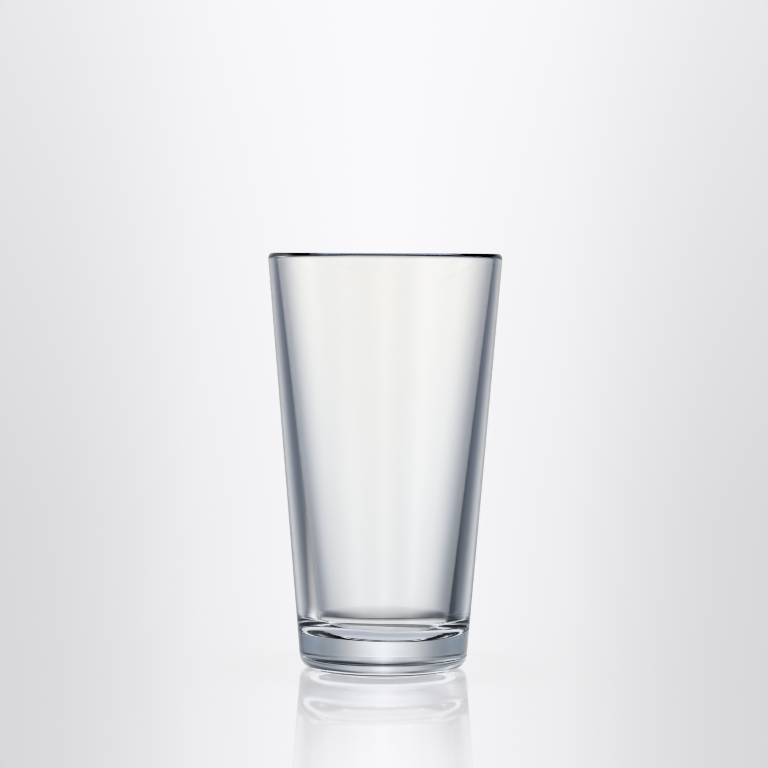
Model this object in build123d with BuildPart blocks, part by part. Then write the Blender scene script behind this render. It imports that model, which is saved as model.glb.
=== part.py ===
from build123d import *

import os

# A mixing glass of about 16 US fl oz: a one-piece tumbler of pressed soda-lime glass.
#
# The outside is a plain cone that widens to the rim. The inside is a steeper cone, so the wall is
# thin at the rim and thick at the base. Below the inside floor is a heavy solid base with a rounded
# heel, and under that a shallow hollow inside a flat ring, which is all that touches the table.
#
# Millimetres, +Z up along the axis, with the origin at the centre of the flat ring's plane.

# Driving dimensions
HEIGHT = 153.6  # table to the top of the rim
RIM_RADIUS = 43.3  # outside, where the rim's rounding meets the outer cone
OUTER_SLOPE = 0.0832  # growth of the outer radius per millimetre of height
RIM_THICKNESS = 3.2
RIM_ROUNDING = 2.2  # height of the rim's rounding, which is half an ellipse
INNER_SLOPE = 0.1188  # growth of the inner radius per millimetre of height
FLOOR_HEIGHT = 12.8  # table to the edge of the inside floor
FLOOR_DISH = 1.0  # how far the middle of the inside floor lies below its edge
CORNER_RADIUS = 9.0  # between the inside wall and the floor
HEEL_RADIUS = 5.2  # between the outside wall and the flat ring
RING_WIDTH = 2.5  # the flat ring that the glass stands on
HOLLOW_DEPTH = 1.2  # at the middle of the hollow under the base
LIP_RADIUS = 1.5  # where the flat ring turns into the hollow

# Worked out from them
rim_z = HEIGHT - RIM_ROUNDING
inner_rim_radius = RIM_RADIUS - RIM_THICKNESS
base_radius = RIM_RADIUS - OUTER_SLOPE * rim_z  # of the outer cone, run down to the table
floor_radius = inner_rim_radius - INNER_SLOPE * (rim_z - FLOOR_HEIGHT)
ring_outer = base_radius - HEEL_RADIUS
ring_inner = ring_outer - RING_WIDTH

rounded_corners = {
    (base_radius, 0): HEEL_RADIUS,
    (floor_radius, FLOOR_HEIGHT): CORNER_RADIUS,
    (ring_inner, 0): LIP_RADIUS,
}

with BuildPart() as mixing_glass:
    with BuildSketch(Plane.XZ) as half_section:
        with BuildLine():
            hollow = TangentArc((0, HOLLOW_DEPTH), (ring_inner, 0), tangent=(1, 0))
            base = Line(hollow @ 1, (base_radius, 0))
            outer_wall = Line(base @ 1, (RIM_RADIUS, rim_z))
            rim = EllipticalCenterArc(
                (RIM_RADIUS - RIM_THICKNESS / 2, rim_z),
                x_radius=RIM_THICKNESS / 2,
                y_radius=RIM_ROUNDING,
                start_angle=0,
                arc_size=180,
            )
            inner_wall = Line(rim @ 1, (floor_radius, FLOOR_HEIGHT))
            dish = TangentArc(
                (0, FLOOR_HEIGHT - FLOOR_DISH), (floor_radius, FLOOR_HEIGHT), tangent=(1, 0)
            )
            Line(dish @ 0, hollow @ 0)
        make_face()
        for (x, y), radius in rounded_corners.items():
            fillet(half_section.vertices().sort_by_distance((x, y, 0))[0], radius)
    revolve(axis=Axis.Z)
mixing_glass.part.label = "mixing_glass"

os.makedirs("parts", exist_ok=True)
export_step(mixing_glass.part, "parts/mixing_glass.step")
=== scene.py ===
from math import atan2, cos, pi, radians, sin, sqrt, tan

import bmesh
import bpy
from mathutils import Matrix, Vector


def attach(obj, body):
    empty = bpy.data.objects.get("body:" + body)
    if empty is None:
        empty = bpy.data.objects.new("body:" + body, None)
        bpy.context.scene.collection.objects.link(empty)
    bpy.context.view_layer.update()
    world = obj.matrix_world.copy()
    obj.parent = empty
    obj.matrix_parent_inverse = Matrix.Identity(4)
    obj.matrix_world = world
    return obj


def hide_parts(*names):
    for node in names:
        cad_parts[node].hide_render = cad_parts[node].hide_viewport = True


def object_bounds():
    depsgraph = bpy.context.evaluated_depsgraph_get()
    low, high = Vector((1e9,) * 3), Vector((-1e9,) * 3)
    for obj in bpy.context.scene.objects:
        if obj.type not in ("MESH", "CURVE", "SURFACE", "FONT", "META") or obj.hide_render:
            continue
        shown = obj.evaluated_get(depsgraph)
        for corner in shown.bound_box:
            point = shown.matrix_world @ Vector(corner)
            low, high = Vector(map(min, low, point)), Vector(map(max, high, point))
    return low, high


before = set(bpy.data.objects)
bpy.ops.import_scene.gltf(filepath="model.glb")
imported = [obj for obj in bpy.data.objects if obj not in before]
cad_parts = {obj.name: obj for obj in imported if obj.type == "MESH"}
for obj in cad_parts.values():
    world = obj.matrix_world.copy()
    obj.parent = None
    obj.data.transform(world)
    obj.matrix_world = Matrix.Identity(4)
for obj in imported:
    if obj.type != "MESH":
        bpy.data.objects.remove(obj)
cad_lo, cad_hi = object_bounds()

# A mixing glass: one piece of clear pressed glass, on a pale polished surface in a light studio.
# Metres, +Z up along the glass's axis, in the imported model's own frame.

height = cad_hi.z
rim_radius = cad_hi.x

# The section, as the CAD model has it
OUTER_SLOPE = 0.0832
INNER_SLOPE = 0.1188
RIM_THICKNESS = 0.0032
RIM_ROUNDING = 0.0022
FLOOR_HEIGHT = 0.0128
FLOOR_DISH = 0.0010
CORNER_RADIUS = 0.0090
HEEL_RADIUS = 0.0052
RING_WIDTH = 0.0025
HOLLOW_DEPTH = 0.0012
LIP_RADIUS = 0.0015

# What the CAD model leaves out: the small unevenness of glass that was pressed and fire-polished
FLOOR_TILT = 0.0003  # of the inside floor, at UNEVEN_RADIUS
FLOOR_TILT_TO = -110  # degrees round from +X
FLOOR_TWIST = 0.0002  # at UNEVEN_RADIUS too
FLOOR_TWIST_TO = 30
UNEVEN_RADIUS = 0.016
UNEVEN_TOP = 0.024  # where it has faded out
UNEVEN_FADE = 0.010  # the height over which it fades
WAVE_DEPTH = 0.000004
SKIN_DEPTH = 0.0000003
WORN_RING_ROUGHNESS = 0.12
ON_TABLE = 0.00001  # what is lower than this is the flat ring

# How finely the section is divided, and the turn
SEGMENTS = 256
DISH_STEPS = 24  # from the axis to the lip, and from the corner to the axis
LIP_STEPS = 6
RING_STEPS = 4
ROUND_STEPS = 28  # of the heel and the inside corner
WALL_STEPS = 90
RIM_STEPS = 40

# The glass itself
GLASS_INDEX = 1.52
GLASS_TINT = (0.10, 0.45, 0.945, 1)
TINT_DENSITY = 1.6  # per metre

# The camera stands level with the rim, well away, with a long lens
CAMERA_DISTANCE = 1.1
CAMERA_SIDE = -0.00049
CAMERA_LENS = 139.4  # millimetres
CAMERA_DIP = 2.52  # degrees
CAMERA_ROLL = -0.29

# The table is two stage discs just under the glass: the polish and, above it, a glowing disc with a
# painted pool of light and a painted contact shadow
TABLE_RADIUS = 0.6
MIRROR_Z = -0.00004
PAINTED_GLOW_Z = -0.00002
TABLE_INDEX = 1.5


# ---- camera -------------------------------------------------------------------------------

def make_camera():
    data = bpy.data.cameras.new("camera")
    cam = bpy.data.objects.new("camera", data)
    bpy.context.collection.objects.link(cam)
    data.sensor_width = 36
    data.lens = CAMERA_LENS
    data.clip_start, data.clip_end = 0.05, 60
    cam.location = (CAMERA_SIDE, -CAMERA_DISTANCE, height)
    cam.rotation_mode = "XYZ"
    cam.rotation_euler = (radians(90 - CAMERA_DIP), radians(CAMERA_ROLL), 0)
    bpy.context.scene.camera = cam


make_camera()


# ---- node trees ---------------------------------------------------------------------------

class Nodes:
    """Short calls for building a node tree."""

    def __init__(self, tree):
        self.tree = tree

    def add(self, kind, **sockets):
        """A new node, with its sockets set or linked by name."""
        node = self.tree.nodes.new(kind)
        for name, value in sockets.items():
            self.put(node, name, value)
        return node

    def put(self, node, name, value):
        """Link a socket to that value, or set it."""
        socket = node.inputs[name]
        if isinstance(value, bpy.types.NodeSocket):
            self.tree.links.new(value, socket)
        else:
            socket.default_value = value

    def math(self, operation, *values):
        """The result of a Math node."""
        node = self.tree.nodes.new("ShaderNodeMath")
        node.operation = operation
        for i, value in enumerate(values):
            self.put(node, i, value)
        return node.outputs[0]

    def clamp(self, value):
        """The value, kept between 0 and 1."""
        return self.add("ShaderNodeClamp", Value=value).outputs[0]

    def ramp(self, value, stops, top):
        """A colour ramp over 0 to top, from {position: colour}, in the units of the value."""
        node = self.add("ShaderNodeValToRGB")
        elements = node.color_ramp.elements
        while len(elements) < len(stops):
            elements.new(1)
        for element, (at, colour) in zip(elements, sorted(stops.items())):
            element.position = at / top
            element.color = (*colour, 1) if isinstance(colour, tuple) else (colour,) * 3 + (1,)
        self.tree.links.new(self.math("DIVIDE", value, top), node.inputs["Fac"])
        return node.outputs["Color"]

    def blend(self, factor, a, b):
        """Two shaders mixed, as a node."""
        node = self.add("ShaderNodeMixShader", Fac=factor)
        self.tree.links.new(a.outputs[0], node.inputs[1])
        self.tree.links.new(b.outputs[0], node.inputs[2])
        return node

    def mix(self, factor, a, b, blend="MIX"):
        """Two colours mixed, or blended as the blend type says."""
        node = self.tree.nodes.new("ShaderNodeMix")
        node.data_type = "RGBA"
        node.blend_type = blend
        for name, value in (("Factor", factor), ("A", a), ("B", b)):
            socket = [i for i in node.inputs if i.name == name and i.enabled][0]
            if isinstance(value, bpy.types.NodeSocket):
                self.tree.links.new(value, socket)
            else:
                socket.default_value = value
        return [o for o in node.outputs if o.enabled][0]


# ---- the glass ----------------------------------------------------------------------------

def arc(centre, radius, start, end, steps):
    """Points round an arc in the section, from one angle to another."""
    return [
        (centre[0] + radius * cos(start + (end - start) * i / steps),
         centre[1] + radius * sin(start + (end - start) * i / steps))
        for i in range(steps + 1)
    ]


def fillet(a, corner, b, radius, steps):
    """The arc of that radius which rounds the corner between a and b."""
    a, corner, b = Vector(a), Vector(corner), Vector(b)
    u, v = (a - corner).normalized(), (b - corner).normalized()
    half = u.angle(v) / 2
    reach = radius / tan(half)
    centre = corner + (u + v).normalized() * (radius / sin(half))
    start, end = corner + u * reach - centre, corner + v * reach - centre
    turn = start.angle_signed(end)
    first = atan2(start.y, start.x)
    return arc(centre, radius, first, first - turn, steps)


def line(a, b, steps):
    """The points between a and b, without a and b themselves."""
    return [(a[0] + (b[0] - a[0]) * i / steps, a[1] + (b[1] - a[1]) * i / steps)
            for i in range(1, steps)]


def section():
    """The half section, from the axis under the base, out and up to the rim, and down inside."""
    rim_z = height - RIM_ROUNDING
    base_radius = rim_radius - OUTER_SLOPE * rim_z
    inner_rim = rim_radius - RIM_THICKNESS
    floor_radius = inner_rim - INNER_SLOPE * (rim_z - FLOOR_HEIGHT)
    ring_outer = base_radius - HEEL_RADIUS
    ring_inner = ring_outer - RING_WIDTH

    def sag(r, edge_radius, depth):
        """The height at r of an arc that is level on the axis, where it is depth above its edge."""
        big = (edge_radius ** 2 + depth ** 2) / (2 * depth)
        return depth - big + sqrt(big ** 2 - r ** 2)

    def hollow(r):
        return sag(r, ring_inner, HOLLOW_DEPTH)

    def dish(r):
        return FLOOR_HEIGHT - sag(r, floor_radius, FLOOR_DISH)

    by_lip = ring_inner - 0.004  # a point of the hollow a little way in, for its slope there
    by_corner = floor_radius - 0.006  # and one of the dish
    lip = fillet((by_lip, hollow(by_lip)), (ring_inner, 0), (ring_outer, 0), LIP_RADIUS, LIP_STEPS)
    heel = fillet((ring_inner, 0), (base_radius, 0), (rim_radius, rim_z), HEEL_RADIUS, ROUND_STEPS)
    rim = [(rim_radius - RIM_THICKNESS / 2 * (1 - cos(turn)), rim_z + RIM_ROUNDING * sin(turn))
           for turn in (pi * i / RIM_STEPS for i in range(RIM_STEPS + 1))]
    corner = fillet((inner_rim, rim_z), (floor_radius, FLOOR_HEIGHT), (by_corner, dish(by_corner)),
                    CORNER_RADIUS, ROUND_STEPS)
    out = [lip[0][0] * i / DISH_STEPS for i in range(1, DISH_STEPS)]
    back = [corner[-1][0] * (1 - i / DISH_STEPS) for i in range(1, DISH_STEPS)]
    points = [(r, hollow(r)) for r in out]
    points += lip
    points += line(lip[-1], heel[0], RING_STEPS)
    points += heel
    points += line(heel[-1], rim[0], WALL_STEPS)
    points += rim
    points += line(rim[-1], corner[0], WALL_STEPS)
    points += corner
    points += [(r, dish(r)) for r in back]
    return (0, hollow(0)), points, (0, dish(0))


def uneven(r, z, turn):
    """How far the plunger's mark moves a point of the inside floor up, fading out up the wall."""
    share = min(max((UNEVEN_TOP - z) / UNEVEN_FADE, 0), 1)
    share *= share * (3 - 2 * share)
    out = r / UNEVEN_RADIUS
    tilt = FLOOR_TILT * out * cos(turn - radians(FLOOR_TILT_TO))
    twist = FLOOR_TWIST * out ** 2 * cos(2 * (turn - radians(FLOOR_TWIST_TO)))
    return share * (tilt + twist)


def make_glass(materials):
    """The section turned about the axis, with the second material on the flat ring."""
    under, ring, top = section()
    bm = bmesh.new()
    crest = max(range(len(ring)), key=lambda i: ring[i][1])
    turns = [2 * pi * k / SEGMENTS for k in range(SEGMENTS)]
    rows = [
        [bm.verts.new((r * cos(turn), r * sin(turn), z + (uneven(r, z, turn) if i > crest else 0)))
         for turn in turns]
        for i, (r, z) in enumerate(ring)
    ]
    for a, b in zip(rows, rows[1:]):
        for k in range(SEGMENTS):
            n = (k + 1) % SEGMENTS
            bm.faces.new((a[k], a[n], b[n], b[k]))
    for row, (r, z), flip in ((rows[0], under, True), (rows[-1], top, False)):
        middle = bm.verts.new((r, 0, z))
        for k in range(SEGMENTS):
            n = (k + 1) % SEGMENTS
            bm.faces.new((row[n], row[k], middle) if flip else (row[k], row[n], middle))
    bmesh.ops.recalc_face_normals(bm, faces=bm.faces)
    mesh = bpy.data.meshes.new("pressed_glass")
    bm.to_mesh(mesh)
    bm.free()
    for polygon in mesh.polygons:
        polygon.use_smooth = True
        polygon.material_index = int(all(mesh.vertices[i].co.z < ON_TABLE for i in polygon.vertices))
    for material in materials:
        mesh.materials.append(material)
    piece = bpy.data.objects.new("pressed_glass", mesh)
    bpy.context.collection.objects.link(piece)
    return piece


def glass_material(name, roughness):
    """Clear pressed glass: faintly wavy where the mould and plunger drew it, with a fine skin."""
    mat = bpy.data.materials.new(name)
    mat.use_nodes = True
    n = Nodes(mat.node_tree)
    shader = n.tree.nodes["Principled BSDF"]
    for socket, value in (("Base Color", (1, 1, 1, 1)), ("Roughness", roughness),
                          ("IOR", GLASS_INDEX), ("Transmission Weight", 1)):
        n.put(shader, socket, value)
    place = n.add("ShaderNodeTexCoord").outputs["Object"]
    drawn = n.add("ShaderNodeMapping", Vector=place, Scale=(1, 1, 0.3))
    wave = n.add("ShaderNodeTexNoise", Vector=drawn.outputs[0], Scale=55, Detail=1)
    skin = n.add("ShaderNodeTexNoise", Vector=place, Scale=900, Detail=2)
    relief = n.math("ADD", n.math("MULTIPLY", wave.outputs[0], WAVE_DEPTH),
                    n.math("MULTIPLY", skin.outputs[0], SKIN_DEPTH))
    bump = n.add("ShaderNodeBump", Strength=1, Distance=1, Height=relief)
    n.put(shader, "Normal", bump.outputs[0])
    tint = n.add("ShaderNodeVolumeAbsorption", Color=GLASS_TINT, Density=TINT_DENSITY)
    n.put(n.tree.nodes["Material Output"], "Volume", tint.outputs[0])
    return mat


glass = make_glass((glass_material("clear_glass", 0),
                    glass_material("worn_ring", WORN_RING_ROUGHNESS)))
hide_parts("mixing_glass")
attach(glass, "root")


# ---- the studio ---------------------------------------------------------------------------

PANEL = {  # light from a panel, by degrees away from its middle
    0: (0.99, 0.99, 0.99),
    5: (0.975, 0.975, 0.975),
    8: (0.91, 0.915, 0.92),
    11: (0.80, 0.81, 0.825),
    18: (0.52, 0.54, 0.585),
    26: (0.30, 0.325, 0.38),
    34: (0.165, 0.185, 0.225),
    45: (0.115, 0.14, 0.185),
    60: (0.04, 0.05, 0.07),
    75: 0.0,
}
BACKDROP = {0: 0.955, 2.6: 0.88, 3.5: 0.855, 4.9: 0.775, 6.2: 0.72, 7.5: 0.69}  # near the table
BACKDROP_HIGH = {0: 0.955, 2.6: 0.93, 3.5: 0.913, 4.9: 0.87, 6.2: 0.83, 7.5: 0.80}
PANEL_ABOVE = {**BACKDROP, 12: 0.62, 18: 0.5, 26: 0.29, 34: 0.14, 60: 0.03, 75: 0.0}
SPILL = {  # what spills round from a panel near the level, which is what the solid base gathers
    0: 0.0,
    8: 0.0,
    12: (0.66, 0.69, 0.72),
    18: (0.53, 0.575, 0.63),
    26: (0.36, 0.41, 0.47),
    34: (0.285, 0.335, 0.395),
    45: (0.27, 0.32, 0.38),
    60: (0.24, 0.29, 0.35),
    75: (0.1, 0.12, 0.15),
    90: 0.0,
}
SPILL_UP = {0: 0.0, 6.4: 0.0, 7.2: 1.0, 14: 1.0, 20: 0.0}  # by degrees above the level
SPILL_DOWN = {0: 1.0, 3.1: 1.0, 4.0: 0.0}  # by degrees below it

# How far panels reach, by degrees from the level: either way, down, and up
LEVEL = {0: 1.0, 3: 1.0, 9: 0.96, 14: 0.78, 24: 0.55, 26.5: 0.5, 28.5: 0.06, 30: 0.0}
SLANTING = {0: 0.0, 13: 0.0, 17: 1.0, 31: 1.0, 32.5: 0.0}
RISING = {0: 0.0, 12: 0.0, 16: 1.0, 31: 1.0, 34: 0.0}
LOW = {0: 0.0, 10: 0.5, 20: 1.0, 60: 1.0, 75: 0.0}  # down, by degrees from LOW_TOP above the level
LOW_TOP = 20

NARROWS_AT = 14  # degrees from the level, past which a panel narrows
PANELS = (  # the azimuth of each one's middle from +Y, its strength, reach, and how slowly it narrows
    (0, 1.0, "level", 5),
    (-90, 1.0, "level", 5),
    (90, 0.45, "level", 5),
    (180, 0.45, "level", 5),
    (135, 1.0, "low", 5),
    (135, 0.8, "rising", 50),
    (-45, 1.0, "slanting", 7),
    (-45, 0.8, "rising", 50),
)
WARM = (1.015, 1.0, 0.96, 1)  # a panel's middle, near the level
WARM_TO = 2.5  # degrees below the level, past which it turns cool
WARM_FADE = 6.5
WARM_WIDTH = 40  # degrees either side of the middle
ABOVE = 1  # degrees above the level, past which panels are like the backdrop

COOL_WHITE = (1.0, 0.99, 1.018, 1)
BACKDROP_TURN = 22.5  # the backdrop is palest behind the glass from every eighth of a turn
BACKDROP_TOP = 5  # degrees above the level
BACKDROP_FADE = 10


def from_middle(n, azimuth, middle):
    """Degrees round from a panel's middle, either way."""
    return n.math("ABSOLUTE", n.math("WRAP", n.math("SUBTRACT", azimuth, middle), 180, -180))


def make_world():
    """Soft panels for the glass to gather, with dark gaps, and a plain pale backdrop to be seen."""
    world = bpy.data.worlds.new("studio")
    bpy.context.scene.world = world
    world.use_nodes = True
    n = Nodes(world.node_tree)
    split = n.add("ShaderNodeSeparateXYZ", Vector=n.add("ShaderNodeTexCoord").outputs["Generated"])
    x, y, z = split.outputs
    azimuth = n.math("DEGREES", n.math("ARCTAN2", x, y))
    rise = n.math("DEGREES", n.math("ARCSINE", z))
    steep = n.math("ABSOLUTE", rise)

    reaches = {
        "level": n.ramp(steep, LEVEL, 90),
        "low": n.ramp(n.math("SUBTRACT", LOW_TOP, rise), LOW, 90 + LOW_TOP),
        "slanting": n.ramp(n.math("MULTIPLY", rise, -1), SLANTING, 90),
        "rising": n.ramp(rise, RISING, 90),
    }
    past = n.math("MAXIMUM", n.math("SUBTRACT", steep, NARROWS_AT), 0)
    off_level = n.clamp(n.math("DIVIDE", n.math("SUBTRACT", steep, WARM_TO), WARM_FADE))
    upward = n.math("GREATER_THAN", rise, ABOVE)
    spilt = n.mix(upward, n.ramp(steep, SPILL_DOWN, 90), n.ramp(steep, SPILL_UP, 90))

    studio = (0, 0, 0, 1)
    for middle, strength, reach, narrowing in PANELS:
        narrower = n.math("ADD", 1, n.math("DIVIDE", past, narrowing))
        away = n.math("MULTIPLY", from_middle(n, azimuth, middle), narrower)
        cool = n.ramp(away, PANEL, 180)
        warm = n.mix(1, n.add("ShaderNodeRGBToBW", Color=cool).outputs[0], WARM, "MULTIPLY")
        above = n.ramp(away, PANEL_ABOVE, 180)
        spill = n.mix(1, n.ramp(away, SPILL, 180), spilt, "MULTIPLY")
        cool = n.mix(1, cool, spill, "LIGHTEN")
        above = n.mix(1, above, spill, "LIGHTEN")
        cooled = n.math("MINIMUM", 1, n.math("ADD", off_level, n.math("DIVIDE", away, WARM_WIDTH)))
        light = n.mix(upward, n.mix(cooled, warm, cool), above)
        light = n.mix(1, light, reaches[reach], "MULTIPLY")
        light = n.mix(1, light, (strength, strength, strength, 1), "MULTIPLY")
        studio = n.mix(1, studio, light, "LIGHTEN")

    off_view = n.math("PINGPONG", azimuth, BACKDROP_TURN)
    drop = n.clamp(n.math("DIVIDE", n.math("SUBTRACT", BACKDROP_TOP, rise), BACKDROP_FADE))
    backdrop = n.mix(drop, n.ramp(off_view, {**BACKDROP_HIGH, BACKDROP_TURN: 0.7}, BACKDROP_TURN),
                     n.ramp(off_view, {**BACKDROP, BACKDROP_TURN: 0.6}, BACKDROP_TURN))
    backdrop = n.mix(1, backdrop, COOL_WHITE, "MULTIPLY")

    seen = n.add("ShaderNodeLightPath").outputs["Is Camera Ray"]
    n.put(n.tree.nodes["Background"], "Color", n.mix(seen, studio, backdrop))


PAINTED_POOL = {  # painted light and shade on a glowing disc, by metres from the axis: a dimmer painted pool under the glass, a painted contact shadow under the flat ring, then a painted bright ring of light outside the foot
    0: (0.68, 0.70, 0.74),
    0.016: (0.66, 0.69, 0.74),
    0.021: (0.50, 0.53, 0.58),
    0.027: (0.50, 0.53, 0.58),
    0.031: (0.90, 0.92, 0.94),
    0.05: (0.90, 0.92, 0.94),
}
PAINTED_POOL_COVER = {0: 1.0, 0.042: 1.0, 0.054: 0.0}
PAINTED_POOL_RADIUS = 0.06
SHINE = {0: 1.0, 0.03: 1.0, 0.2: 0.35, 0.6: 0.0}  # of the table, by metres from the axis
BLUR = {0: 0.15, 0.05: 0.15, 0.08: 0.05, 0.2: 0.04}  # of what it mirrors


def disc(name, z):
    """A large flat stage disc: its node tree, and the distance from the axis in it."""
    mesh = bpy.data.meshes.new(name)
    bm = bmesh.new()
    bmesh.ops.create_circle(bm, cap_ends=True, radius=TABLE_RADIUS, segments=96)
    bm.to_mesh(mesh)
    bm.free()
    piece = bpy.data.objects.new(name, mesh)
    bpy.context.collection.objects.link(piece)
    piece.location.z = z
    mat = bpy.data.materials.new(name)
    mat.use_nodes = True
    mesh.materials.append(mat)
    n = Nodes(mat.node_tree)
    split = n.add("ShaderNodeSeparateXYZ", Vector=n.add("ShaderNodeTexCoord").outputs["Object"])
    x, y, z = split.outputs
    away = n.math("SQRT", n.math("ADD", n.math("POWER", x, 2), n.math("POWER", y, 2)))
    return n, away


def make_table():
    """A clear polished table, which mirrors the glass more faintly further out."""
    n, away = disc("polished_table", MIRROR_Z)
    fresnel = n.add("ShaderNodeFresnel", IOR=TABLE_INDEX)
    mirrored = n.math("MULTIPLY", n.ramp(away, SHINE, TABLE_RADIUS), fresnel.outputs[0])
    mirror = n.add("ShaderNodeBsdfGlossy", Color=(1, 1, 1, 1), Roughness=n.ramp(away, BLUR, TABLE_RADIUS))
    surface = n.blend(mirrored, n.add("ShaderNodeBsdfTransparent"), mirror)
    n.put(n.tree.nodes["Material Output"], "Surface", surface.outputs[0])


def make_painted_table_glow():
    """A glowing disc, no lamp, with a painted pool of light round the foot and a painted contact shadow
    under it, for the glass alone to gather.
    """
    n, away = disc("painted_table_glow", PAINTED_GLOW_Z)
    # painted light and painted contact shadow, glowing by distance from the axis
    painted_glow = n.add("ShaderNodeEmission", Color=n.ramp(away, PAINTED_POOL, PAINTED_POOL_RADIUS), Strength=1)
    painted_glow_cover = n.ramp(away, PAINTED_POOL_COVER, PAINTED_POOL_RADIUS)
    surface = n.blend(painted_glow_cover, n.add("ShaderNodeBsdfTransparent"), painted_glow)
    clear = n.math("MAXIMUM", n.add("ShaderNodeLightPath").outputs["Is Camera Ray"],
                   n.add("ShaderNodeNewGeometry").outputs["Backfacing"])
    surface = n.blend(clear, surface, n.add("ShaderNodeBsdfTransparent"))
    n.put(n.tree.nodes["Material Output"], "Surface", surface.outputs[0])


make_world()
make_table()
make_painted_table_glow()
scene = bpy.context.scene
scene.view_settings.view_transform = "Standard"
scene.cycles.filter_width = 1.0
scene.cycles.max_bounces = 32
scene.cycles.transmission_bounces = 32
scene.cycles.glossy_bounces = 16
scene.cycles.transparent_max_bounces = 32
